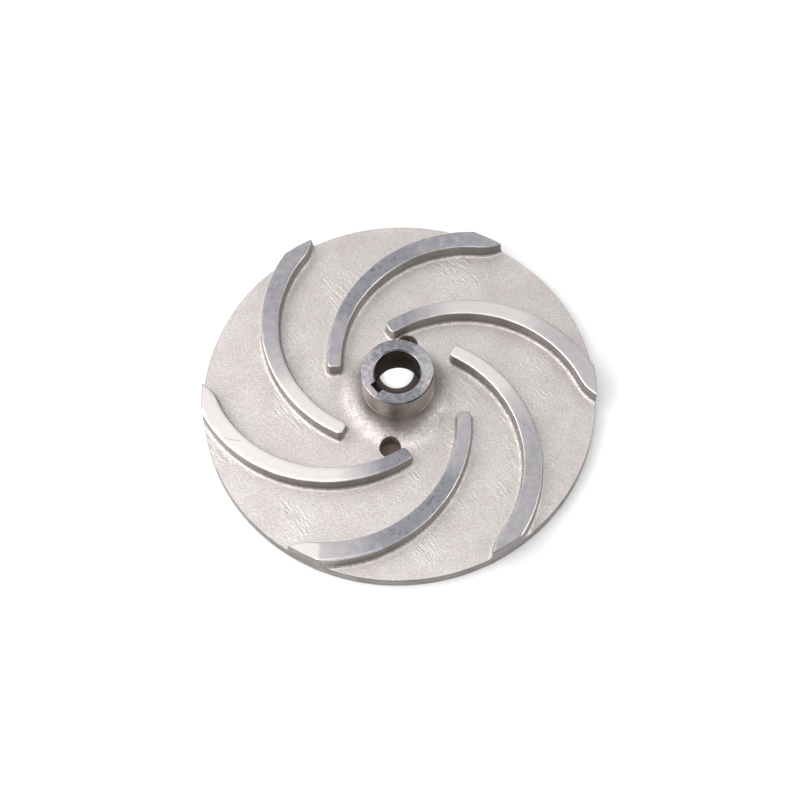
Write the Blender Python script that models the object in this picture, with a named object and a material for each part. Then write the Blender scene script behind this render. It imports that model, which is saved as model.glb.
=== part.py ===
"""Semi-open pump impeller, cast in one piece: a disc, a hub and six backward-curved vanes.

The shaft axis is Z and the back face lies on Z = 0. The hub and the vanes stand up from the front
face, towards the inlet. The hub has a keyed bore, which opens into a cored cone at the back, and
two balance holes go through the disc beside it.
"""

from math import atan2, cos, pi, radians, sin, sqrt, tan

import bmesh
import bpy
from mathutils import Vector

MM = 0.001

OUTER_RADIUS = 81.2 * MM
DISC_THICKNESS = 5.5 * MM
VANE_HEIGHT = 6.5 * MM
OVERALL_HEIGHT = 28.0 * MM
MACHINING_ALLOWANCE = 1.5 * MM
EDGE_BREAK = 0.4 * MM

HUB_TOP_RADIUS = 14.65 * MM
HUB_FOOT_RADIUS = 14.9 * MM
HUB_FILLET = 10.0 * MM

BORE_RADIUS = 9.525 * MM
BORE_CHAMFER = 0.5 * MM
BORE_LENGTH = 15.5 * MM
CORE_MOUTH_RADIUS = 16.7 * MM
KEYWAY_WIDTH = 4.76 * MM
KEYWAY_DEPTH = 2.4 * MM
KEYWAY_DIRECTION = radians(216.5)

BALANCE_HOLE_RADIUS = 4.3 * MM
BALANCE_HOLE_CIRCLE = 23.9 * MM
BALANCE_HOLE_DIRECTIONS = (radians(78.2), radians(258.2))

VANE_COUNT = 6
VANE_DRAFT = radians(3.0)
VANE_FILLET = 1.2 * MM
VANE_BURIED = 0.3 * MM

# The first vane's sides, seen from above. The concave side faces the hub.
CONVEX_CENTRE = Vector((3.62, 33.34)) * MM
CONVEX_RADIUS = 59.5 * MM
CONCAVE_CENTRE = Vector((4.19, 31.99)) * MM
CONCAVE_RADIUS = 52.9 * MM
BEND_DIRECTION = radians(136.9)
OUTLET_CORNER_DIRECTION = radians(114.1)
END_DIRECTION = radians(240.4)
END_ROUNDING = 1.7 * MM

DISC_SEGMENTS = 96
BORE_SEGMENTS = 48
HOLE_SEGMENTS = 24
SIDE_SEGMENTS = 18
CORNER_SEGMENTS = 3
HUB_FILLET_SEGMENTS = 6

SHARP_ANGLE = radians(30.0)

DISC_FACE = DISC_THICKNESS
VANE_TOP = DISC_FACE + VANE_HEIGHT


def clear_scene():
    for old in list(bpy.data.objects):
        bpy.data.objects.remove(old, do_unlink=True)


def polar(radius, angle):
    return Vector((radius * cos(angle), radius * sin(angle)))


def arc(centre, radius, start, end, segments):
    """Points on a circle from one direction to another, both ends included."""
    turns = [start + (end - start) * i / segments for i in range(segments + 1)]
    return [centre + polar(radius, turn) for turn in turns]


def turned_solid(name, profile, segments, first=0.0):
    """A solid turned round Z from (radius, height) points that start and end on the axis.

    The first column of points stands in this direction.
    """
    mesh = bmesh.new()
    rings = []
    for radius, height in profile:
        if radius == 0:
            rings.append([mesh.verts.new((0, 0, height))])
            continue
        spots = [polar(radius, first + 2 * pi * i / segments) for i in range(segments)]
        rings.append([mesh.verts.new((spot.x, spot.y, height)) for spot in spots])
    for upper, lower in zip(rings, rings[1:]):
        for i in range(segments):
            j = (i + 1) % segments
            corners = [upper[i % len(upper)], lower[i % len(lower)]]
            if len(lower) > 1:
                corners.append(lower[j])
            if len(upper) > 1:
                corners.append(upper[j])
            mesh.faces.new(corners)
    return finished(name, mesh)


def stacked_solid(name, stacks):
    """One mesh of closed solids, each a stack of outlines with the same number of points, lowest first."""
    mesh = bmesh.new()
    for stack in stacks:
        rings = [[mesh.verts.new(point) for point in ring] for ring in stack]
        count = len(rings[0])
        for lower, upper in zip(rings, rings[1:]):
            for i in range(count):
                j = (i + 1) % count
                mesh.faces.new((lower[i], lower[j], upper[j], upper[i]))
        mesh.faces.new(rings[0][::-1])
        mesh.faces.new(rings[-1])
    return finished(name, mesh)


def finished(name, mesh):
    """The object made from a bmesh, with its faces turned outwards."""
    bmesh.ops.recalc_face_normals(mesh, faces=mesh.faces)
    data = bpy.data.meshes.new(name)
    mesh.to_mesh(data)
    mesh.free()
    made = bpy.data.objects.new(name, data)
    bpy.context.scene.collection.objects.link(made)
    return made


def combine(target, tool, operation):
    """Joins, cuts or trims the target with the tool, which is then taken away."""
    boolean = target.modifiers.new(operation.title(), "BOOLEAN")
    boolean.operation = operation
    boolean.solver = "EXACT"
    boolean.object = tool
    bpy.context.view_layer.update()
    graph = bpy.context.evaluated_depsgraph_get()
    shaped = bpy.data.meshes.new_from_object(target.evaluated_get(graph))
    target.modifiers.clear()
    target.data = shaped
    bpy.data.objects.remove(tool, do_unlink=True)


def disc_and_hub():
    """The turned body: a disc left a little oversize at the rim, and a hub that flows into it.

    It is turned by half a facet, so that none of its edges meets a corner of the finished rim.
    """
    centre = Vector((HUB_FOOT_RADIUS + HUB_FILLET, DISC_FACE + HUB_FILLET))
    fillet = arc(centre, HUB_FILLET, pi, 1.5 * pi, HUB_FILLET_SEGMENTS)
    rim = OUTER_RADIUS + MACHINING_ALLOWANCE
    profile = [
        (0, OVERALL_HEIGHT),
        (HUB_TOP_RADIUS - EDGE_BREAK, OVERALL_HEIGHT),
        (HUB_TOP_RADIUS, OVERALL_HEIGHT - EDGE_BREAK),
        *fillet,
        (rim, DISC_FACE),
        (rim, 0),
        (0, 0),
    ]
    return turned_solid("impeller_casting", profile, DISC_SEGMENTS, pi / DISC_SEGMENTS)


def corner_centre(side_centre, distance):
    """Centre of the circle that rounds a corner of the blunt inner end, this far from a side's centre."""
    outward = polar(1, END_DIRECTION)
    beside_end = CONCAVE_CENTRE - polar(END_ROUNDING, END_DIRECTION + pi / 2)
    between = beside_end - side_centre
    along = between.dot(outward)
    reach = sqrt(along**2 - between.length_squared + distance**2) - along
    return beside_end + outward * reach


def direction(spot):
    return atan2(spot.y, spot.x) % (2 * pi)


def direction_at_radius(centre, radius, distance):
    """Direction from an arc's centre to its point this far from the shaft axis, on the outlet side."""
    spread = (distance**2 - radius**2 - centre.length_squared) / (2 * radius * centre.length)
    return atan2(centre.y, centre.x) + atan2(sqrt(1 - spread**2), spread)


def vane_outline(growth):
    """The first vane's outline, grown by this much on every side and run out past the rim."""
    past_rim = OUTER_RADIUS + 2 * MACHINING_ALLOWANCE
    concave_corner = corner_centre(CONCAVE_CENTRE, CONCAVE_RADIUS + END_ROUNDING)
    convex_corner = corner_centre(CONVEX_CENTRE, CONVEX_RADIUS - END_ROUNDING)
    concave_end = direction(concave_corner - CONCAVE_CENTRE)
    convex_end = direction(convex_corner - CONVEX_CENTRE)
    end_faces = END_DIRECTION + pi / 2
    rounding = END_ROUNDING + growth
    concave = arc(
        CONCAVE_CENTRE, CONCAVE_RADIUS - growth, BEND_DIRECTION, concave_end, SIDE_SEGMENTS
    )
    first_corner = arc(concave_corner, rounding, concave_end + pi, end_faces, CORNER_SEGMENTS)
    second_corner = arc(convex_corner, rounding, end_faces, convex_end, CORNER_SEGMENTS)
    convex = arc(
        CONVEX_CENTRE,
        CONVEX_RADIUS + growth,
        convex_end,
        direction_at_radius(CONVEX_CENTRE, CONVEX_RADIUS, past_rim),
        SIDE_SEGMENTS,
    )
    bend = CONCAVE_CENTRE + polar(CONCAVE_RADIUS, BEND_DIRECTION)
    run = (polar(OUTER_RADIUS, OUTLET_CORNER_DIRECTION) - bend).normalized()
    sideways = Vector((run.y, -run.x)) * growth
    outlet = bend + sideways + run * (past_rim - bend.length)
    return [*concave, *first_corner[1:], *second_corner, *convex[1:], outlet]


def vane_levels():
    """Heights of the vane's outlines with the growth of each: draft, and a fillet at the foot."""
    levels = []
    for turn in (0, pi / 4, pi / 2):
        height = DISC_FACE + VANE_FILLET * (1 - cos(turn))
        spread = VANE_FILLET * (1 - sin(turn))
        levels.append((height, spread + (VANE_TOP - height) * tan(VANE_DRAFT)))
    (foot, foot_growth), (middle, middle_growth) = levels[:2]
    slope = (foot_growth - middle_growth) / (middle - foot)
    buried = (foot - VANE_BURIED, foot_growth + slope * VANE_BURIED)
    return [buried, *levels[1:], (VANE_TOP, 0)]


def vanes():
    stacks = []
    for number in range(VANE_COUNT):
        turn = -2 * pi * number / VANE_COUNT
        stack = []
        for height, growth in vane_levels():
            spots = [polar(spot.length, atan2(spot.y, spot.x) + turn) for spot in vane_outline(growth)]
            stack.append([(spot.x, spot.y, height) for spot in spots])
        stacks.append(stack)
    return stacked_solid("vanes", stacks)


def rim_envelope():
    """What the lathe leaves inside the finished outer diameter."""
    above = OVERALL_HEIGHT + MACHINING_ALLOWANCE
    below = -MACHINING_ALLOWANCE
    profile = [(0, above), (OUTER_RADIUS, above), (OUTER_RADIUS, below), (0, below)]
    return turned_solid("rim_envelope", profile, DISC_SEGMENTS)


def bore_cutter():
    """The straight bore with its chamfer, and the cored cone that opens to the back face."""
    top = OVERALL_HEIGHT + MACHINING_ALLOWANCE
    bore_foot = OVERALL_HEIGHT - BORE_LENGTH
    slope = (CORE_MOUTH_RADIUS - BORE_RADIUS) / bore_foot
    below = -MACHINING_ALLOWANCE
    profile = [
        (0, top),
        (BORE_RADIUS + BORE_CHAMFER + MACHINING_ALLOWANCE, top),
        (BORE_RADIUS, OVERALL_HEIGHT - BORE_CHAMFER),
        (BORE_RADIUS, bore_foot),
        (CORE_MOUTH_RADIUS + slope * MACHINING_ALLOWANCE, below),
        (0, below),
    ]
    return turned_solid("bore_cutter", profile, BORE_SEGMENTS)


def keyway_cutter():
    """A bar along the bore wall, right through the hub and the cored cone."""
    along = polar(1, KEYWAY_DIRECTION)
    across = Vector((-along.y, along.x)) * KEYWAY_WIDTH / 2
    floor = along * (BORE_RADIUS + KEYWAY_DEPTH)
    inner = along * BORE_RADIUS / 2
    outline = [inner - across, floor - across, floor + across, inner + across]
    heights = (-MACHINING_ALLOWANCE, OVERALL_HEIGHT + MACHINING_ALLOWANCE)
    stack = [[(spot.x, spot.y, height) for spot in outline] for height in heights]
    return stacked_solid("keyway_cutter", [stack])


def balance_hole_cutters():
    stacks = []
    for direction in BALANCE_HOLE_DIRECTIONS:
        centre = polar(BALANCE_HOLE_CIRCLE, direction)
        outline = arc(centre, BALANCE_HOLE_RADIUS, 0, 2 * pi, HOLE_SEGMENTS)[:-1]
        heights = (-MACHINING_ALLOWANCE, DISC_FACE + HUB_FILLET / 2)
        stacks.append([[(spot.x, spot.y, height) for spot in outline] for height in heights])
    return stacked_solid("balance_hole_cutters", stacks)


def cast_stainless():
    material = bpy.data.materials.new("cast_stainless")
    material.use_nodes = True
    shader = material.node_tree.nodes["Principled BSDF"]
    shader.inputs["Base Color"].default_value = (0.58, 0.55, 0.53, 1)
    shader.inputs["Metallic"].default_value = 0.9
    shader.inputs["Roughness"].default_value = 0.45
    return material


def impeller_casting():
    casting = disc_and_hub()
    combine(casting, vanes(), "UNION")
    combine(casting, rim_envelope(), "INTERSECT")
    combine(casting, bore_cutter(), "DIFFERENCE")
    combine(casting, keyway_cutter(), "DIFFERENCE")
    combine(casting, balance_hole_cutters(), "DIFFERENCE")
    casting.data.name = "impeller_casting"
    casting.data.materials.clear()
    casting.data.materials.append(cast_stainless())
    casting.data.shade_smooth()
    casting.data.set_sharp_from_angle(angle=SHARP_ANGLE)
    return casting


clear_scene()
impeller_casting()
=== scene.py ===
"""The looks of a semi-open pump impeller: one casting with ground vane tops and machined faces.

The visible surface is one closed mesh. Seen from the inlet side it is a height field: the disc's
face, the hub's fillet and six drafted vanes. The machined hub, bore, holes, rim and back face are
rows of points that join on to the edges of that field. Lengths are millimetres until mesh points
are made, and the casting's own axes are used throughout, with +Z towards the inlet.
"""

from math import asin, atan2, cos, pi, radians, sin, sqrt, tan

import bmesh
import bpy
import numpy as np
from mathutils import Matrix, Vector, geometry, noise


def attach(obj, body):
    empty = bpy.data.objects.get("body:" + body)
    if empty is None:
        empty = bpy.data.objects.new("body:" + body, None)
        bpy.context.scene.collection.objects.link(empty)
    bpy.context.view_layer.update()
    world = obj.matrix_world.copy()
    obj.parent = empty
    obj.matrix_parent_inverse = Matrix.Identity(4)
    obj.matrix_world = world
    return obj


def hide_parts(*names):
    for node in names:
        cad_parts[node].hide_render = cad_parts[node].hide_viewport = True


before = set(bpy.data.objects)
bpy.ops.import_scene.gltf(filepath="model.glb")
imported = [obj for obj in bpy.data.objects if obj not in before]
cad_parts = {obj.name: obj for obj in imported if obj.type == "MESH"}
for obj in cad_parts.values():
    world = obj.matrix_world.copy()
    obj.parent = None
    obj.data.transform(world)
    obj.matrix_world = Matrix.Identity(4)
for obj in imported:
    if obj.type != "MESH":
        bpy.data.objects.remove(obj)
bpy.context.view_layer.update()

MM = 0.001

# The casting
OUTER_RADIUS = 81.2
DISC_FACE = 5.5
VANE_TOP = 12.0
OVERALL_HEIGHT = 28.0
HUB_TOP_RADIUS = 14.65
HUB_FOOT_RADIUS = 14.9
HUB_STEP = 0.12
HUB_FILLET = 10.0
HUB_EDGE = 0.4
FIELD_INNER_RADIUS = 19.0
BORE_RADIUS = 9.525
BORE_CHAMFER = 0.5
BORE_LENGTH = 15.5
CORE_MOUTH_RADIUS = 16.7
KEYWAY_WIDTH = 4.76
KEYWAY_DEPTH = 2.4
KEYWAY_CHAMFER = 0.15
KEYWAY_DIRECTION = radians(216.5)
BALANCE_HOLE_RADIUS = 4.3
BALANCE_HOLE_CIRCLE = 23.9
BALANCE_HOLE_DIRECTIONS = (radians(78.2), radians(258.2))
HOLE_EDGE = 0.2
RIM_EDGE = 0.2

# The first vane. Its concave side faces the hub.
VANE_COUNT = 6
VANE_DRAFT = radians(3.0)
VANE_FILLET = 1.5
VANE_EDGE = 0.48
CONVEX_CENTRE = np.array((3.62, 33.34))
CONVEX_RADIUS = 59.5
CONCAVE_CENTRE = np.array((4.19, 31.99))
CONCAVE_RADIUS = 52.9
BEND_DIRECTION = radians(136.9)
OUTLET_CORNER_DIRECTION = radians(114.1)
END_DIRECTION = radians(240.4)
END_ROUNDING = 1.7
BEND_ROUNDING = 17.0

# The mesh
GRID_STEP = 1.0
GRID_CLEARANCE = 0.45
RIM_SEGMENTS = 384
HOLE_SEGMENTS = 64
BORE_SEGMENTS = 132
CONCAVE_SEGMENTS = 110
CONVEX_SEGMENTS = 130
CORNER_SEGMENTS = 9
END_SEGMENTS = 4
BEND_SEGMENTS = 10
OUTLET_SEGMENTS = 2
EDGE_ROWS = 3
FILLET_ROWS = 6
HUB_FILLET_ROWS = 9
SHARP_ANGLE = radians(38.0)
MERGE_DISTANCE = 1e-5
LOOP_SLACK = 0.05
# What delaunay_2d_cdt gives back: every triangle inside the hull of the points
WHOLE_HULL = 0

# Unevenness of the cast skin
WAVE_FREQUENCY = 0.17
WAVE_SIDEWAYS = 0.09
WAVE_UPWARD = 0.05
WAVE_FADE = 2.5
WAVE_SEED = 1

# Material slots of the mesh
CAST, GROUND, TURNED, FACED, BORED = range(5)


def polar(radius, angle):
    return np.array((radius * cos(angle), radius * sin(angle)))


def circle(radius, angles, centre=(0.0, 0.0)):
    """Plan points at these directions on a circle."""
    angles = np.asarray(angles)
    return np.column_stack((centre[0] + radius * np.cos(angles), centre[1] + radius * np.sin(angles)))


def turned(spots, angle):
    """Plan points turned round the shaft axis."""
    turn = np.array(((cos(angle), -sin(angle)), (sin(angle), cos(angle))))
    return spots @ turn.T


def lengths(spots):
    return np.hypot(spots[:, 0], spots[:, 1])


def corner_centre(side_centre, distance):
    """Centre of the circle that rounds a corner of the inner end, this far from a side's centre."""
    outward = polar(1, END_DIRECTION)
    beside_end = CONCAVE_CENTRE - polar(END_ROUNDING, END_DIRECTION + pi / 2)
    between = beside_end - side_centre
    along = between @ outward
    reach = sqrt(along**2 - between @ between + distance**2) - along
    return beside_end + outward * reach


def direction(spot):
    return atan2(spot[1], spot[0]) % (2 * pi)


def run_at_bend():
    """How far past the bend the straight run starts, where a circle rounds the bend off."""
    beside = BEND - RUN_SIDEWAYS * BEND_ROUNDING - CONCAVE_CENTRE
    along = beside @ RUN
    return sqrt(along**2 - beside @ beside + (CONCAVE_RADIUS + BEND_ROUNDING) ** 2) - along


CONCAVE_CORNER = corner_centre(CONCAVE_CENTRE, CONCAVE_RADIUS + END_ROUNDING)
CONVEX_CORNER = corner_centre(CONVEX_CENTRE, CONVEX_RADIUS - END_ROUNDING)
CONCAVE_END = direction(CONCAVE_CORNER - CONCAVE_CENTRE)
CONVEX_END = direction(CONVEX_CORNER - CONVEX_CENTRE)
BEND = CONCAVE_CENTRE + polar(CONCAVE_RADIUS, BEND_DIRECTION)
RUN = polar(OUTER_RADIUS, OUTLET_CORNER_DIRECTION) - BEND
RUN = RUN / np.hypot(*RUN)
RUN_SIDEWAYS = np.array((RUN[1], -RUN[0]))
RUN_START = BEND + RUN * run_at_bend()
BEND_CENTRE = RUN_START - RUN_SIDEWAYS * BEND_ROUNDING
CONCAVE_START = direction(BEND_CENTRE - CONCAVE_CENTRE)
FIELD_OUTER_RADIUS = OUTER_RADIUS - RIM_EDGE
VANE_WALL = (VANE_TOP - DISC_FACE - VANE_FILLET) * tan(VANE_DRAFT)


def vane_growth(spots):
    """How far each plan point is outside the outline of the nearest vane's top, negative inside it."""
    nearest = np.full(len(spots), np.inf)
    for number in range(VANE_COUNT):
        local = turned(spots, 2 * pi * number / VANE_COUNT)
        inward = CONCAVE_RADIUS - lengths(local - CONCAVE_CENTRE)
        past_bend = (local - CONCAVE_CENTRE) @ polar(1, BEND_DIRECTION + pi / 2) < 0
        straight = np.where(past_bend, (local - BEND) @ RUN_SIDEWAYS, -np.inf)
        rounded = lengths(local - BEND_CENTRE) - BEND_ROUNDING
        hollow = np.where(beside_bend(local), rounded, np.maximum(inward, straight))
        outward = lengths(local - CONVEX_CENTRE) - CONVEX_RADIUS
        sides = np.maximum(hollow, outward)
        beside_end = (local - CONCAVE_CENTRE) @ polar(1, END_DIRECTION + pi / 2) > -END_ROUNDING
        growth = np.where(beside_end, end_growth(local), sides)
        nearest = np.minimum(nearest, growth)
    return nearest


def beside_bend(local):
    """Which plan points are beside the rounded bend of the first vane."""
    aside = local - BEND_CENTRE
    after_arc = aside @ polar(1, CONCAVE_START - pi / 2) > 0
    before_run = aside @ RUN < 0
    return after_arc & before_run & (aside @ RUN_SIDEWAYS > 0)


def end_growth(local):
    """The same near the first vane's blunt inner end: a segment between its corners, rounded."""
    run = CONVEX_CORNER - CONCAVE_CORNER
    share = np.clip((local - CONCAVE_CORNER) @ run / (run @ run), 0, 1)
    return lengths(local - CONCAVE_CORNER - share[:, None] * run) - END_ROUNDING


def floor_height(spots):
    """Height of the disc's face and of the hub's fillet."""
    inside = np.clip(HUB_FOOT_RADIUS + HUB_FILLET - lengths(spots), 0, HUB_FILLET)
    return DISC_FACE + HUB_FILLET - np.sqrt(HUB_FILLET**2 - inside**2)


def vane_height(growth, floor):
    """Height of the vane's top, rounded edge, drafted wall and foot fillet, standing on the floor."""
    rounded = np.clip(growth + VANE_EDGE, 0, VANE_EDGE)
    edge = VANE_TOP - VANE_EDGE + np.sqrt(VANE_EDGE**2 - rounded**2)
    shoulder = VANE_TOP - VANE_EDGE
    knee = DISC_FACE + VANE_FILLET
    wall = shoulder - (shoulder - knee) * np.clip(growth, 0, None) / VANE_WALL
    run_out = np.clip(VANE_WALL + VANE_FILLET - growth, 0, VANE_FILLET)
    fillet = floor + VANE_FILLET - np.sqrt(VANE_FILLET**2 - run_out**2)
    height = np.where(growth < 0, edge, np.maximum(wall, fillet))
    return np.maximum(height, floor)


def field_height(spots):
    floor = floor_height(spots)
    return vane_height(vane_growth(spots), floor)


def growth_levels():
    """Growths of the rows along a vane: rounded top edge, wall and foot fillet."""
    edge = [VANE_EDGE * (sin(pi / 2 * i / EDGE_ROWS) - 1) for i in range(EDGE_ROWS + 1)]
    foot = VANE_WALL + VANE_FILLET
    fillet = [foot - VANE_FILLET * sin(pi / 2 * (1 - i / FILLET_ROWS)) for i in range(FILLET_ROWS + 1)]
    return [*edge, VANE_WALL / 2, *fillet]


def direction_at_radius(centre, radius, distance):
    """Direction from an arc's centre to its point this far from the shaft axis, on the outlet side."""
    spread = (distance**2 - radius**2 - centre @ centre) / (2 * radius * np.hypot(*centre))
    return atan2(centre[1], centre[0]) + atan2(sqrt(1 - spread**2), spread)


def vane_row(growth):
    """One row round the first vane, from the rim along its concave side, round its inner end and back."""
    start = RUN_START + RUN_SIDEWAYS * growth
    along = start @ RUN
    reach = sqrt(along**2 - start @ start + FIELD_OUTER_RADIUS**2) - along
    outlet = [start + RUN * reach * (1 - i / OUTLET_SEGMENTS) for i in range(OUTLET_SEGMENTS + 1)]
    turns = np.linspace(direction(RUN_SIDEWAYS), CONCAVE_START + pi, BEND_SEGMENTS + 1)[1:]
    bend = circle(BEND_ROUNDING + growth, turns, BEND_CENTRE)
    turns = np.linspace(CONCAVE_START, CONCAVE_END, CONCAVE_SEGMENTS + 1)[1:]
    concave = circle(CONCAVE_RADIUS - growth, turns, CONCAVE_CENTRE)
    end_faces = END_DIRECTION + pi / 2
    turns = np.linspace(CONCAVE_END + pi, end_faces, CORNER_SEGMENTS + 1)[1:]
    first_corner = circle(END_ROUNDING + growth, turns, CONCAVE_CORNER)
    turns = np.linspace(end_faces, CONVEX_END, CORNER_SEGMENTS + 1)
    second_corner = circle(END_ROUNDING + growth, turns, CONVEX_CORNER)
    blunt = np.linspace(first_corner[-1], second_corner[0], END_SEGMENTS + 1)[1:-1]
    rim_end = direction_at_radius(CONVEX_CENTRE, CONVEX_RADIUS + growth, FIELD_OUTER_RADIUS)
    turns = np.linspace(CONVEX_END, rim_end, CONVEX_SEGMENTS + 1)[1:]
    convex = circle(CONVEX_RADIUS + growth, turns, CONVEX_CENTRE)
    return np.concatenate((outlet, bend, concave, first_corner, blunt, second_corner, convex))


def keyed_outline(bore, half_width, depth):
    """The bore with its keyway, from one side of the keyway round to the other."""
    opening = asin(half_width / bore)
    turns = np.linspace(opening, 2 * pi - opening, BORE_SEGMENTS) + KEYWAY_DIRECTION
    floor = polar(BORE_RADIUS + depth, KEYWAY_DIRECTION)
    across = polar(half_width, KEYWAY_DIRECTION + pi / 2)
    flat = [floor + across * side for side in (-1, -0.5, 0, 0.5, 1)]
    return np.concatenate((circle(bore, turns), flat))


HUB_STATIONS = np.arctan2(*keyed_outline(BORE_RADIUS, KEYWAY_WIDTH / 2, KEYWAY_DEPTH).T[::-1])


def hexagon_grid(radius, step):
    """Evenly spread plan points, in rows that are shifted by half a step."""
    spots = []
    rows = int(radius / (step * sin(pi / 3))) + 1
    for row in range(-rows, rows + 1):
        shift = step / 2 * (row % 2)
        across = np.arange(-radius, radius, step) + shift
        spots.append(np.column_stack((across, np.full(len(across), row * step * sin(pi / 3)))))
    return np.concatenate(spots)


def hole_centres():
    return [polar(BALANCE_HOLE_CIRCLE, angle) for angle in BALANCE_HOLE_DIRECTIONS]


def open_grid():
    """Grid points clear of the rows and circles that the triangles have to follow."""
    spots = hexagon_grid(OUTER_RADIUS, GRID_STEP)
    radii = lengths(spots)
    growth = vane_growth(spots)
    keep = (radii < FIELD_OUTER_RADIUS - GRID_CLEARANCE) & (radii > FIELD_INNER_RADIUS + GRID_CLEARANCE)
    foot = VANE_WALL + VANE_FILLET
    keep &= (growth < -VANE_EDGE - GRID_CLEARANCE) | (growth > foot + GRID_CLEARANCE)
    for centre in hole_centres():
        keep &= lengths(spots - centre) > BALANCE_HOLE_RADIUS + HOLE_EDGE + GRID_CLEARANCE
    return spots[keep]


def field_triangles():
    """Plan points and triangles of the front, fitted to the vanes, rim, holes and hub."""
    spots = []
    edges = []

    def add(line, closed):
        first = len(spots)
        spots.extend(line)
        count = len(line)
        edges.extend((first + i, first + (i + 1) % count) for i in range(count if closed else count - 1))
        return first, first + count - 1

    ends = []
    for number in range(VANE_COUNT):
        for growth in growth_levels():
            row = turned(vane_row(growth), -2 * pi * number / VANE_COUNT)
            ends.extend(add(row, False))
    rim = [(atan2(spots[end][1], spots[end][0]) % (2 * pi), end) for end in ends]
    taken = np.array([angle for angle, end in rim])
    nearest_allowed = pi / RIM_SEGMENTS
    for i in range(RIM_SEGMENTS):
        angle = 2 * pi * i / RIM_SEGMENTS
        apart = np.abs((taken - angle + pi) % (2 * pi) - pi)
        if apart.min() > nearest_allowed or i % (RIM_SEGMENTS // 4) == 0:
            rim.append((angle, len(spots)))
            spots.append(polar(FIELD_OUTER_RADIUS, angle))
    rim.sort()
    edges.extend((here[1], after[1]) for here, after in zip(rim, rim[1:] + rim[:1]))
    for centre in hole_centres():
        turns = np.linspace(0, 2 * pi, HOLE_SEGMENTS, endpoint=False)
        add(circle(BALANCE_HOLE_RADIUS + HOLE_EDGE, turns, centre), True)
    add(circle(FIELD_INNER_RADIUS, HUB_STATIONS), True)
    spots.extend(open_grid())
    vectors = [Vector(spot) for spot in spots]
    points, _, faces, *_ = geometry.delaunay_2d_cdt(vectors, edges, [], WHOLE_HULL, MERGE_DISTANCE)
    plan = np.array([tuple(point) for point in points])
    corners = np.array([face for face in faces if len(face) == 3])
    middles = plan[corners].mean(axis=1)
    keep = lengths(middles) > FIELD_INNER_RADIUS
    for centre in hole_centres():
        keep &= lengths(middles - centre) > BALANCE_HOLE_RADIUS + HOLE_EDGE
    return plan, corners[keep], middles[keep]


def waves(plan, growth):
    """Small moves of the field's points: none at machined edges, and only sideways at the vane tops."""
    radii = lengths(plan)
    room = np.minimum(radii - FIELD_INNER_RADIUS, FIELD_OUTER_RADIUS - radii)
    for centre in hole_centres():
        room = np.minimum(room, lengths(plan - centre) - BALANCE_HOLE_RADIUS - HOLE_EDGE)
    share = np.clip(room / WAVE_FADE, 0, 1)
    upward = np.clip(growth / (VANE_WALL + VANE_FILLET), 0, 1)
    size = np.column_stack((share * WAVE_SIDEWAYS, share * WAVE_SIDEWAYS, share * upward * WAVE_UPWARD))
    noise.seed_set(WAVE_SEED)
    moves = [noise.noise_vector(Vector((x, y, 0)) * WAVE_FREQUENCY) for x, y in plan]
    return np.array(moves) * size


def front_field(mesh):
    plan, corners, middles = field_triangles()
    ground = vane_growth(middles) < 0
    moved = np.column_stack((plan, field_height(plan))) + waves(plan, vane_growth(plan))
    verts = {}
    for i in np.unique(corners):
        verts[i] = mesh.verts.new(moved[i] * MM)
    for triangle, on_top in zip(corners, ground):
        face = mesh.faces.new([verts[i] for i in triangle])
        face.material_index = GROUND if on_top else CAST


def open_loop(mesh, centre, radius):
    """The points of the field's open edge on this circle, in order round it."""
    found = []
    for vert in mesh.verts:
        aside = np.array((vert.co.x, vert.co.y)) / MM - centre
        if vert.is_boundary and abs(np.hypot(*aside) - radius) < LOOP_SLACK:
            found.append((atan2(aside[1], aside[0]), vert))
    found.sort(key=lambda pair: pair[0])
    return [vert for angle, vert in found]


def join_rows(mesh, loop, rows, slot):
    """Joins rows of new points on to a loop, one after the other, and gives back the last one."""
    for row in rows:
        fresh = [mesh.verts.new(Vector(point) * MM) for point in row]
        for i in range(len(loop)):
            j = (i + 1) % len(loop)
            mesh.faces.new((loop[i], loop[j], fresh[j], fresh[i])).material_index = slot
        loop = fresh
    return loop


def flat_row(spots, height):
    return [(x, y, height) for x, y in spots]


def rim_band(mesh):
    """The turned rim with the vanes' outlet faces, down to the back face."""
    loop = open_loop(mesh, np.zeros(2), FIELD_OUTER_RADIUS)
    turns = [atan2(vert.co.y, vert.co.x) for vert in loop]
    outside = circle(OUTER_RADIUS, turns)
    shoulder = [(x, y, vert.co.z / MM - RIM_EDGE) for (x, y), vert in zip(outside, loop)]
    rows = [
        shoulder,
        flat_row(outside, DISC_FACE / 2),
        flat_row(outside, RIM_EDGE),
        flat_row(circle(OUTER_RADIUS - RIM_EDGE, turns), 0),
    ]
    return join_rows(mesh, loop, rows, TURNED)


def balance_hole(mesh, centre):
    loop = open_loop(mesh, centre, BALANCE_HOLE_RADIUS + HOLE_EDGE)
    turns = [atan2(vert.co.y / MM - centre[1], vert.co.x / MM - centre[0]) for vert in loop]
    wall = circle(BALANCE_HOLE_RADIUS, turns, centre)
    rows = [
        [(x, y, vert.co.z / MM - HOLE_EDGE) for (x, y), vert in zip(wall, loop)],
        flat_row(wall, DISC_FACE / 2),
        flat_row(wall, HOLE_EDGE),
        flat_row(circle(BALANCE_HOLE_RADIUS + HOLE_EDGE, turns, centre), 0),
    ]
    return join_rows(mesh, loop, rows, BORED)


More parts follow.
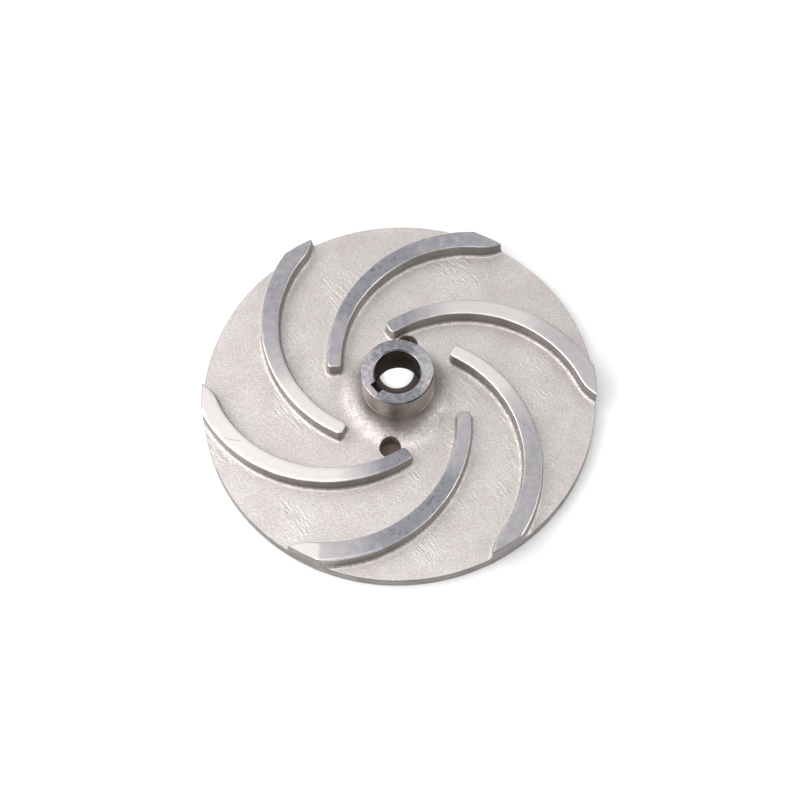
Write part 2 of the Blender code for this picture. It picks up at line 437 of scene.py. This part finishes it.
def hub_outside(mesh):
    """The rest of the fillet, and the turned side up to the edge of the hub's top."""
    found = open_loop(mesh, np.zeros(2), FIELD_INNER_RADIUS)
    directions = np.array([atan2(vert.co.y, vert.co.x) for vert in found])
    loop = [found[int(np.argmin(np.abs(directions - station)))] for station in HUB_STATIONS]
    centre_radius = HUB_FOOT_RADIUS + HUB_FILLET
    first = asin((centre_radius - FIELD_INNER_RADIUS) / HUB_FILLET)
    fillet = []
    for turn in np.linspace(first, pi / 2, HUB_FILLET_ROWS + 1)[1:]:
        radius = centre_radius - HUB_FILLET * sin(turn)
        height = DISC_FACE + HUB_FILLET * (1 - cos(turn))
        fillet.append(flat_row(circle(radius, HUB_STATIONS), height))
    loop = join_rows(mesh, loop, fillet, CAST)
    side_foot = DISC_FACE + HUB_FILLET
    side = [
        flat_row(circle(HUB_FOOT_RADIUS - HUB_STEP, HUB_STATIONS), side_foot + HUB_STEP),
        flat_row(circle(HUB_TOP_RADIUS, HUB_STATIONS), OVERALL_HEIGHT - HUB_EDGE),
    ]
    return join_rows(mesh, loop, side, TURNED)


def faced_top(mesh, loop):
    """The hub's edge break, the faced ring, and the chamfers of the bore and keyway."""
    half_width = KEYWAY_WIDTH / 2
    edge = circle(HUB_TOP_RADIUS - HUB_EDGE, HUB_STATIONS)
    mouth_depth = KEYWAY_DEPTH + KEYWAY_CHAMFER
    mouth = keyed_outline(BORE_RADIUS + BORE_CHAMFER, half_width + KEYWAY_CHAMFER, mouth_depth)
    bore = keyed_outline(BORE_RADIUS, half_width, KEYWAY_DEPTH)
    drops = [BORE_CHAMFER] * BORE_SEGMENTS + [KEYWAY_CHAMFER] * (len(bore) - BORE_SEGMENTS)
    chamfer = [(x, y, OVERALL_HEIGHT - drop) for (x, y), drop in zip(bore, drops)]
    rows = [flat_row(edge, OVERALL_HEIGHT), flat_row(mouth, OVERALL_HEIGHT), chamfer]
    return join_rows(mesh, loop, rows, FACED)


def keyed_bore(mesh, loop):
    """The bore and keyway down to the cone, and the cone down to the back face."""
    bore = keyed_outline(BORE_RADIUS, KEYWAY_WIDTH / 2, KEYWAY_DEPTH)
    bore_foot = OVERALL_HEIGHT - BORE_LENGTH
    slope = (CORE_MOUTH_RADIUS - BORE_RADIUS) / bore_foot
    cone_top = [(x, y, bore_foot - (sqrt(x * x + y * y) - BORE_RADIUS) / slope) for x, y in bore]
    middle = [(x, y, (z + OVERALL_HEIGHT) / 2) for x, y, z in cone_top]
    rows = [middle, cone_top]
    for share in (0.5, 1.0):
        row = []
        for x, y, z in cone_top:
            height = z * (1 - share)
            wanted = BORE_RADIUS + slope * (bore_foot - height)
            row.append((*polar(wanted, atan2(y, x)), height))
        rows.append(row)
    return join_rows(mesh, loop, rows, BORED)


def close_back(mesh, loops):
    """Fills the flat back face from the rim, the first loop, to the holes and the mouth of the cone."""
    verts = []
    loop_of = []
    edges = []
    for number, loop in enumerate(loops):
        first = len(verts)
        edges.extend((first + i, first + (i + 1) % len(loop)) for i in range(len(loop)))
        verts.extend(loop)
        loop_of.extend([number] * len(loop))
    spots = [Vector((vert.co.x, vert.co.y)) / MM for vert in verts]
    _, _, faces, sources, *_ = geometry.delaunay_2d_cdt(spots, edges, [], WHOLE_HULL, MERGE_DISTANCE)
    for face in faces:
        corners = [sources[i][0] for i in face]
        touched = {loop_of[i] for i in corners}
        if touched == {0} or len(touched) > 1:
            mesh.faces.new([verts[i] for i in corners]).material_index = TURNED


def impeller_mesh():
    mesh = bmesh.new()
    front_field(mesh)
    rim = rim_band(mesh)
    holes = [balance_hole(mesh, centre) for centre in hole_centres()]
    top_edge = hub_outside(mesh)
    bore_edge = faced_top(mesh, top_edge)
    mouth = keyed_bore(mesh, bore_edge)
    close_back(mesh, [rim, *holes, mouth])
    bmesh.ops.recalc_face_normals(mesh, faces=mesh.faces)
    data = bpy.data.meshes.new("impeller_surface")
    mesh.to_mesh(data)
    mesh.free()
    return data


class Graph:
    """Adds nodes to a tree. An input is a number, a colour or vector, or another node's output."""

    def __init__(self, tree):
        self.tree = tree

    def add(self, kind, inputs, output=0, **settings):
        node = self.tree.nodes.new(kind)
        for name, value in settings.items():
            setattr(node, name, value)
        for name, value in inputs.items():
            if isinstance(value, bpy.types.NodeSocket):
                self.tree.links.new(value, node.inputs[name])
            elif node.inputs[name].type == "RGBA":
                node.inputs[name].default_value = (*value, 1)
            else:
                node.inputs[name].default_value = value
        return node.outputs[output]

    def place(self):
        return self.add("ShaderNodeTexCoord", {}, "Object")

    def attribute(self, name):
        return self.add("ShaderNodeAttribute", {}, "Fac", attribute_name=name)

    def noise(self, place, scale, detail=2.0, roughness=0.5):
        """Noise with this many cells a metre."""
        inputs = {"Vector": place, "Scale": scale, "Detail": detail, "Roughness": roughness}
        return self.add("ShaderNodeTexNoise", inputs)

    def stretched(self, place, stretch, turn=0.0):
        """The place for a texture that is stretched this much along its axes, then turned about Z."""
        inputs = {"Vector": place, "Scale": stretch, "Rotation": (0, 0, turn)}
        return self.add("ShaderNodeMapping", inputs, vector_type="TEXTURE")

    def step(self, value, low, high, start=0.0, end=1.0):
        """Goes smoothly from start to end while the value goes from low to high."""
        inputs = {"Value": value, "From Min": low, "From Max": high, "To Min": start, "To Max": end}
        return self.add("ShaderNodeMapRange", inputs, interpolation_type="SMOOTHSTEP")

    def math(self, operation, first, second=0.0):
        return self.add("ShaderNodeMath", {0: first, 1: second}, operation=operation)

    def product(self, first, second):
        return self.math("MULTIPLY", first, second)

    def vectors(self, operation, first, second, output="Vector"):
        return self.add("ShaderNodeVectorMath", {0: first, 1: second}, output, operation=operation)

    def reach(self, place, way):
        """How far the place reaches this way, as a multiple of the way's length."""
        return self.vectors("DOT_PRODUCT", place, way, "Value")

    def distance(self, first, second):
        return self.vectors("DISTANCE", first, second, "Value")

    def from_axis(self, place):
        """Distance from the shaft axis, in metres."""
        return self.distance(self.vectors("MULTIPLY", place, (1, 1, 0)), (0, 0, 0))

    def facing_up(self):
        """1 on a level face that looks up, 0 on a wall."""
        return self.reach(self.add("ShaderNodeTexCoord", {}, "Normal"), UPWARD)

    def blend(self, share, first, second):
        """A colour that goes from the first to the second with the share."""
        return self.add("ShaderNodeMix", {0: share, 6: first, 7: second}, 2, data_type="RGBA")

    def bump(self, height, depth):
        """A bump whose full height is this many millimetres deep."""
        return self.add("ShaderNodeBump", {"Height": height, "Distance": depth * MM, "Strength": 1.0})


def new_material(name, metallic):
    material = bpy.data.materials.new(name)
    material.use_nodes = True
    shader = material.node_tree.nodes["Principled BSDF"]
    shader.inputs["Metallic"].default_value = metallic
    return material, Graph(material.node_tree), shader


def finish_material(material, graph, shader, colour, roughness, normal):
    for name, value in (("Base Color", colour), ("Roughness", roughness), ("Normal", normal)):
        graph.tree.links.new(value, shader.inputs[name])
    return material


UPWARD = (0, 0, 1)
RIGHTWARD = (1, 0, 0)

# Colours. A pair is the darkest and palest of a mottled surface.
CAST_FACE = ((0.615, 0.572, 0.552), (0.69, 0.65, 0.632))
# Walls painted darker grey-brown than the level faces, as shade
CAST_WALL_SHADE = ((0.29, 0.272, 0.265), (0.37, 0.35, 0.34))
# Painted shade in the grain's hollows, and painted highlight on its tops and on the wrinkles
GRAIN_HOLLOW_SHADE = (0.36, 0.33, 0.32)
GRAIN_TOP_HIGHLIGHT = (0.95, 0.92, 0.90)
# Painted glints: tiny highlights scattered on the cast skin
PAINTED_GLINT = (1.0, 0.99, 0.98)
# Pits painted dark as shade, on slopes only
PIT_SHADE = (0.20, 0.185, 0.18)
# Darkest and palest of the painted reflection on the ground tops
GROUND_REFLECTION = ((0.315, 0.315, 0.35), (0.80, 0.755, 0.735))
GROUND_SPECK = (0.12, 0.12, 0.14)
HANDLING_MARK = (0.10, 0.10, 0.12)
# Near white of the ground tops' rounded edges: edge wear with a painted highlight
WORN_AND_HIGHLIT_STEEL = (0.97, 0.95, 0.94)
# Painted brown reflection on the turned hub side
HUB_SIDE_REFLECTION = ((0.37, 0.325, 0.295), (0.51, 0.465, 0.43))
# Painted dark reflection on the turned rim and back
RIM_AND_BACK_DARK_REFLECTION = ((0.22, 0.205, 0.195), (0.31, 0.295, 0.285))
# Darkest and palest of the painted reflection on the hub's faced ring
FACED_REFLECTION = ((0.16, 0.16, 0.19), (0.56, 0.545, 0.565))
TOOL_RING = (0.68, 0.67, 0.70)
# Painted shade on one side of the ring's outer edge
EDGE_SHADE_BLACK = (0.03, 0.028, 0.03)
# Painted shade: nearly black in the bore, brown in the balance holes
BORE_SHADE = ((0.020, 0.013, 0.010), (0.05, 0.035, 0.028))
HOLE_SHADE = ((0.16, 0.116, 0.1), (0.21, 0.155, 0.132))
FLOOR_WHITE = (0.97, 0.97, 0.97)
# Painted shadow on the floor under the casting, darker under the hub
FLOOR_SHADOW = ((0.13, 0.098, 0.086), (0.21, 0.158, 0.139))


def cast_skin():
    """Blasted as-cast steel: pale grain with painted shade in its hollows and painted highlights on its
    tops, patches of wrinkles with painted highlights, painted glints, pitted slopes with the pits painted
    dark as shade, and walls painted darker grey-brown as shade.
    """
    material, graph, shader = new_material("cast_skin", 1.0)
    place = graph.place()
    facing = graph.facing_up()
    cloud = graph.step(graph.noise(place, 60.0, 4.0, 0.6), 0.3, 0.7)
    grain = graph.noise(place, 1250.0, 3.0, 0.6)
    face = graph.blend(cloud, *CAST_FACE)
    # Painted shade on the grain's low places and painted highlight on its high places, from the grain
    # that also makes the bump
    face = graph.blend(graph.step(grain, 0.36, 0.5, 0.3, 0.0), face, GRAIN_HOLLOW_SHADE)
    face = graph.blend(graph.step(grain, 0.55, 0.68, 0.0, 0.28), face, GRAIN_TOP_HIGHLIGHT)
    # Painted shade: the less a face looks up, the more it takes the darker grey-brown of the walls
    wall = graph.blend(cloud, *CAST_WALL_SHADE)
    colour = graph.blend(graph.step(facing, 0.15, 0.8), wall, face)
    # Painted glints: scattered specks of painted highlight
    painted_glints = graph.step(graph.noise(place, 1400.0, 0.0), 0.79, 0.83, 0.0, 0.5)
    colour = graph.blend(painted_glints, colour, PAINTED_GLINT)
    # Pits painted dark as shade, only on slopes clear of the walls and hardly on level faces
    pits = graph.step(graph.noise(place, 820.0, 3.0, 0.65), 0.56, 0.44)
    clear_of_walls = graph.step(facing, 0.3, 0.6)
    sloping = graph.step(facing, 0.9, 0.99, 0.3, 0.06)
    pit_shade = graph.product(pits, graph.product(clear_of_walls, sloping))
    colour = graph.blend(pit_shade, colour, PIT_SHADE)
    wrinkles = graph.noise(graph.stretched(place, (1.0, 4.5, 1.0), radians(35)), 1000.0, 2.0)
    patches = graph.step(graph.noise(place, 55.0, 1.0), 0.56, 0.66, 0.0, 0.45)
    wrinkled = graph.product(graph.step(wrinkles, 0.4, 0.62), patches)
    # Painted highlight on the wrinkles, which also rise in the bump
    colour = graph.blend(graph.product(wrinkled, 0.12), colour, GRAIN_TOP_HIGHLIGHT)
    roughness = graph.step(graph.noise(place, 300.0), 0.3, 0.7, 0.48, 0.58)
    height = graph.math("ADD", grain, wrinkled)
    return finish_material(material, graph, shader, colour, roughness, graph.bump(height, 0.15))


# Marks on the ground tops: from, to, half width and how dark
MARKS = (
    ((-72.9, -17.2), (-65.6, -19.1), 0.5, 0.3),
    ((-8.2, 56.7), (-7.2, 57.0), 1.0, 0.75),
    ((46.9, -15.8), (50.2, -20.2), 0.6, 0.25),
    ((49.8, -17.2), (52.8, -23.4), 0.6, 0.2),
    ((8.6, -52.2), (11.1, -48.9), 1.1, 0.4),
)


def mark(graph, place, start, end, width):
    """1 on the line between two plan points of the ground tops, down to 0 this far from it."""
    first = Vector((*start, VANE_TOP)) * MM
    run = Vector((*end, VANE_TOP)) * MM - first
    aside = graph.vectors("SUBTRACT", place, first)
    along = graph.reach(aside, run / run.length_squared)
    share = graph.add("ShaderNodeClamp", {"Value": along})
    nearest = graph.add("ShaderNodeVectorMath", {0: run, "Scale": share}, operation="SCALE")
    return graph.step(graph.distance(aside, nearest), 0.0, width * MM, 1.0, 0.0)


def ground_tops():
    """Ground steel whose colour paints its reflections, dark where mirror-like and pale where hazy, as
    the tone painted along each vane says.
    """
    material, graph, shader = new_material("ground_tops", 1.0)
    place = graph.place()
    reflection_tone = graph.attribute("reflection_tone")
    worn_and_lit_edge = graph.attribute("edge_wear_and_highlight")
    mottle = graph.noise(place, 330.0, 6.0, 0.72)
    handled = graph.step(reflection_tone, 0.0, 0.7, 1.0, 0.25)
    shift = graph.product(graph.step(mottle, 0.3, 0.7, -0.17, 0.17), handled)
    # Painted reflection: the tone along each vane, shifted by the mottle
    colour = graph.blend(graph.math("ADD", reflection_tone, shift), *GROUND_REFLECTION)
    darkest = graph.step(reflection_tone, -0.05, 0.2, 0.65, 0.0)
    specks = graph.step(graph.noise(place, 560.0, 6.0, 0.78), 0.5, 0.66)
    colour = graph.blend(graph.product(specks, darkest), colour, GROUND_SPECK)
    for start, end, width, darkness in MARKS:
        near = mark(graph, place, start, end, width)
        colour = graph.blend(graph.product(near, darkness), colour, HANDLING_MARK)
    # Rounded edges of the ground tops painted near white: edge wear with a painted highlight
    colour = graph.blend(graph.product(worn_and_lit_edge, 0.8), colour, WORN_AND_HIGHLIT_STEEL)
    roughness = graph.step(reflection_tone, 0.0, 1.0, 0.26, 0.42)
    speckle = graph.noise(place, 1100.0, 2.0)
    height = graph.math("ADD", graph.product(mottle, 2.0), speckle)
    return finish_material(material, graph, shader, colour, roughness, graph.bump(height, 0.012))


def turned_steel():
    """The turned hub side, and the rim and back: fine rings round the shaft axis. The colours paint
    reflections: brown on the hub side, darker on the rim and back.
    """
    material, graph, shader = new_material("turned_steel", 1.0)
    place = graph.place()
    stain = graph.step(graph.noise(place, 120.0, 3.0), 0.3, 0.7)
    past_hub = graph.step(graph.from_axis(place), 20 * MM, 30 * MM)
    # Painted reflections: brown on the hub side, darker on the rim and back
    colour = graph.blend(past_hub, graph.blend(stain, *HUB_SIDE_REFLECTION), graph.blend(stain, *RIM_AND_BACK_DARK_REFLECTION))
    streaks = graph.noise(graph.stretched(place, (20.0, 20.0, 1.0)), 2600.0, 2.0)
    roughness = graph.step(streaks, 0.3, 0.7, 0.36, 0.48)
    return finish_material(material, graph, shader, colour, roughness, graph.bump(streaks, 0.01))


# The side on which the ring's outer edge is painted black as shade
SHADED_EDGE_SIDE = (0.7, -0.714, 0)


def faced_ring():
    """The hub's faced top: handled grey and blue rings with a painted reflection palest at the left and
    right, and one edge painted black as shade.
    """
    material, graph, shader = new_material("faced_ring", 1.0)
    place = graph.place()
    inputs = {"W": graph.from_axis(place), "Scale": 3600.0, "Detail": 1.0}
    rings = graph.add("ShaderNodeTexNoise", inputs, noise_dimensions="1D")
    across = graph.math("ABSOLUTE", graph.reach(place, RIGHTWARD))
    mottle = graph.noise(place, 520.0, 5.0, 0.72)
    # Painted reflection: palest at the left and right of the ring
    reflection_palest_aside = graph.step(across, 4.0 * MM, 12.5 * MM, 0.05, 0.75)
    handled = graph.step(mottle, 0.36, 0.64, -0.35, 0.3)
    colour = graph.blend(graph.math("ADD", reflection_palest_aside, handled), *FACED_REFLECTION)
    colour = graph.blend(graph.step(rings, 0.45, 0.6, 0.0, 0.34), colour, TOOL_RING)
    # Painted shade: the ring's outer edge black on one side
    on_edge = graph.step(graph.facing_up(), 0.85, 0.95, 1.0, 0.0)
    on_shaded_edge_side = graph.step(graph.reach(place, SHADED_EDGE_SIDE), 11.5 * MM, 12.5 * MM)
    colour = graph.blend(graph.product(on_edge, on_shaded_edge_side), colour, EDGE_SHADE_BLACK)
    roughness = graph.step(mottle, 0.3, 0.7, 0.3, 0.4)
    return finish_material(material, graph, shader, colour, roughness, graph.bump(rings, 0.03))


def shaded_bore():
    """Drilled steel painted dark as shade: nearly black in the bore, brown in the balance holes."""
    material, graph, shader = new_material("shaded_bore", 0.0)
    shader.inputs["Specular IOR Level"].default_value = 0.1
    place = graph.place()
    stain = graph.noise(place, 250.0, 3.0)
    share = graph.step(stain, 0.35, 0.7)
    past_bore = graph.step(graph.from_axis(place), 17.5 * MM, 18.5 * MM)
    # Painted shade of the bore and the balance holes
    colour = graph.blend(past_bore, graph.blend(share, *BORE_SHADE), graph.blend(share, *HOLE_SHADE))
    roughness = graph.step(stain, 0.3, 0.7, 0.6, 0.8)
    return finish_material(material, graph, shader, colour, roughness, graph.bump(stain, 0.05))


# How pale the painted reflection on the ground tops is: for each vane, (distance from its inner end,
# tone) stops
VANE_REFLECTION_TONES = (
    ((0, 0.95), (28, 0.9), (38, 0.47), (55, 0.28), (70, 0.15), (100, 0.2)),
    ((0, 0.28), (18, 0.24), (26, -0.03), (60, -0.04), (68, 0.16), (100, 0.2)),
    ((0, 0.1), (10, 0.13), (16, 0.35), (27, 0.82), (55, 0.88), (65, 0.58), (75, 0.5), (100, 0.55)),
    ((0, 1.0), (25, 0.92), (32, 0.6), (45, 0.36), (55, 0.28), (100, 0.3)),
    ((0, 0.38), (22, 0.3), (32, -0.1), (60, -0.03), (76, 0.3), (88, 0.5), (89, 0.85), (100, 0.9)),
    ((0, -0.12), (10, 0.0), (20, 0.5), (30, 0.92), (70, 0.97), (100, 0.86)),
)


def vane_reflection_tone(spots):
    """Tone of the painted reflection at each plan point of the ground tops, from the stops of the vane
    that it is on.
    """
    tones = np.zeros(len(spots))
    nearest = np.full(len(spots), np.inf)
    for number, stops in enumerate(VANE_REFLECTION_TONES):
        local = turned(spots, 2 * pi * number / VANE_COUNT)
        aside = local - CONCAVE_CENTRE
        along = (END_DIRECTION - np.arctan2(aside[:, 1], aside[:, 0]) % (2 * pi)) * CONCAVE_RADIUS
        off = np.abs(lengths(aside) - CONCAVE_RADIUS - END_ROUNDING)
        off = np.where((along > -GRID_STEP) & (along < CONCAVE_RADIUS * 2), off, np.inf)
        places, values = zip(*stops)
        tones = np.where(off < nearest, np.interp(along, places, values), tones)
        nearest = np.minimum(nearest, off)
    return tones


def paint(data, name, values):
    """Stores a number at each point of the mesh, for a material to read."""
    data.attributes.new(name, "FLOAT", "POINT").data.foreach_set("value", values)


def impeller_surface():
    data = impeller_mesh()
    piece = bpy.data.objects.new("impeller_surface", data)
    bpy.context.scene.collection.objects.link(piece)
    for material in (cast_skin(), ground_tops(), turned_steel(), faced_ring(), shaded_bore()):
        data.materials.append(material)
    spots = np.array([(vert.co.x / MM, vert.co.y / MM) for vert in data.vertices])
    # The painted reflection tone of the ground tops
    paint(data, "reflection_tone", vane_reflection_tone(spots))
    # How near each point is to the rounded edge of a vane top, for the worn edge with its painted
    # highlight
    paint(data, "edge_wear_and_highlight", np.clip(1 + vane_growth(spots) / VANE_EDGE, 0, 1))
    data.shade_smooth()
    data.set_sharp_from_angle(angle=SHARP_ANGLE)
    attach(piece, "root")
    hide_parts("impeller_casting")


# The camera, which looks along +Y and down
CAMERA_AIM = Vector((0.33, -4.21, 9.98)) * MM
CAMERA_DISTANCE = 715.6 * MM
CAMERA_ELEVATION = radians(64.391)
CAMERA_ROLL = radians(-3.602)
CAMERA_LENS = 78.33
SENSOR_WIDTH = 36.0
NEAR_CLIP = 0.01
FAR_CLIP = 50


def studio_camera():
    data = bpy.data.cameras.new("camera")
    data.lens = CAMERA_LENS
    data.sensor_width = SENSOR_WIDTH
    data.clip_start = NEAR_CLIP
    data.clip_end = FAR_CLIP
    camera = bpy.data.objects.new("camera", data)
    bpy.context.scene.collection.objects.link(camera)
    aim = Matrix.Translation(CAMERA_AIM)
    tilt = Matrix.Rotation(pi / 2 - CAMERA_ELEVATION, 4, "X")
    roll = Matrix.Rotation(CAMERA_ROLL, 4, "Z")
    back_off = Matrix.Translation((0, 0, CAMERA_DISTANCE))
    camera.matrix_world = aim @ tilt @ roll @ back_off
    bpy.context.scene.camera = camera


# The pale floor. Under the disc it is painted brown as the casting's shadow, which the holes show, darker
# under the hub, with the bore's white spot.
FLOOR_SIZE = 6
FLOOR_ROUGHNESS = 0.8
SHADOW_RADIUS = 60.0
SPOT_CENTRE = Vector((-0.4, 13.5, 0)) * MM
SPOT_RADIUS = 7.2
SOFT_EDGE = 0.4


def floor_white():
    material, graph, shader = new_material("floor_white", 0.0)
    shader.inputs["Roughness"].default_value = FLOOR_ROUGHNESS
    place = graph.place()
    radius = graph.from_axis(place)
    from_spot = graph.distance(place, SPOT_CENTRE)
    off_spot = graph.step(from_spot, SPOT_RADIUS * MM, (SPOT_RADIUS + SOFT_EDGE) * MM)
    # Painted shadow: brown under the casting, except the bore's white spot
    covered = graph.step(radius, SHADOW_RADIUS * MM, (SHADOW_RADIUS + SOFT_EDGE) * MM, 1.0, 0.0)
    painted_shadow = graph.blend(graph.step(radius, 18 * MM, 19 * MM), *FLOOR_SHADOW)
    colour = graph.blend(graph.product(off_spot, covered), FLOOR_WHITE, painted_shadow)
    graph.tree.links.new(colour, shader.inputs["Base Color"])
    return material


def studio_floor():
    bpy.ops.mesh.primitive_plane_add(size=FLOOR_SIZE)
    floor = bpy.context.object
    floor.name = "studio_floor"
    floor.data.materials.append(floor_white())


def studio_lamp(name, kind, energy, centre, towards, distance):
    """A light that stands this far from the centre in this direction, and shines back at it."""
    data = bpy.data.lights.new(name, kind)
    data.energy = energy
    lamp = bpy.data.objects.new(name, data)
    bpy.context.scene.collection.objects.link(lamp)
    away = Vector(towards).normalized()
    lamp.location = centre + away * distance
    lamp.rotation_euler = away.to_track_quat("Z", "Y").to_euler()
    return data


# Square lights that face the casting: direction, distance and width in metres, and radiance
SOFTBOXES = {
    "left_softbox": ((-0.76, -0.08, 0.64), 0.8, 0.75, 2.4),
    "right_softbox": ((0.82, -0.22, 0.52), 1.0, 0.4, 3.6),
    "top_softbox": ((-0.16, -0.16, 0.97), 1.2, 0.55, 1.8),
}


def softboxes():
    for name, (towards, distance, width, radiance) in SOFTBOXES.items():
        power = radiance * pi * width**2
        data = studio_lamp(name, "AREA", power, Vector(), towards, distance)
        data.size = width


SNOOT_POWER = 30
SNOOT_DISTANCE = 0.73
SNOOT_BLEND = 0.1
SNOOT_SIZE = 0.004


def bore_snoot():
    """A narrow beam along the camera's line, down the bore to the white spot on the floor."""
    towards = (0, -cos(CAMERA_ELEVATION), sin(CAMERA_ELEVATION))
    data = studio_lamp("bore_snoot", "SPOT", SNOOT_POWER, SPOT_CENTRE, towards, SNOOT_DISTANCE)
    data.spot_size = 2 * SPOT_RADIUS * MM / SNOOT_DISTANCE
    data.spot_blend = SNOOT_BLEND
    data.shadow_soft_size = SNOOT_SIZE


# The white room, and its dark screens: direction, cosines of the edge and of the full dark, colour
ROOM_WALL = (0.76, 0.75, 0.74)
ROOM_CEILING = ((1.08, 1.06, 1.045), (0.80, 0.81, 0.83))
SCREENS = (
    ((0, -0.985, 0.17), 0.55, 0.9, (0.16, 0.13, 0.115)),
    ((0.59, 0.79, 0.16), 0.82, 0.97, (0.12, 0.12, 0.125)),
)


def studio_surroundings():
    """A white room, dimmer at the right, with dark screens behind the camera and at the far right."""
    world = bpy.data.worlds.new("studio")
    world.use_nodes = True
    graph = Graph(world.node_tree)
    towards = graph.add("ShaderNodeTexCoord", {}, "Generated")
    ceiling = graph.blend(graph.step(graph.reach(towards, RIGHTWARD), -0.45, 0.45), *ROOM_CEILING)
    room = graph.blend(graph.step(graph.reach(towards, UPWARD), -0.1, 0.95), ROOM_WALL, ceiling)
    for way, edge, full, colour in SCREENS:
        room = graph.blend(graph.step(graph.reach(towards, way), edge, full), room, colour)
    background = world.node_tree.nodes["Background"]
    world.node_tree.links.new(room, background.inputs["Color"])
    bpy.context.scene.world = world
    bpy.context.scene.view_settings.view_transform = "Standard"


studio_camera()
studio_floor()
studio_surroundings()
softboxes()
bore_snoot()
impeller_surface()
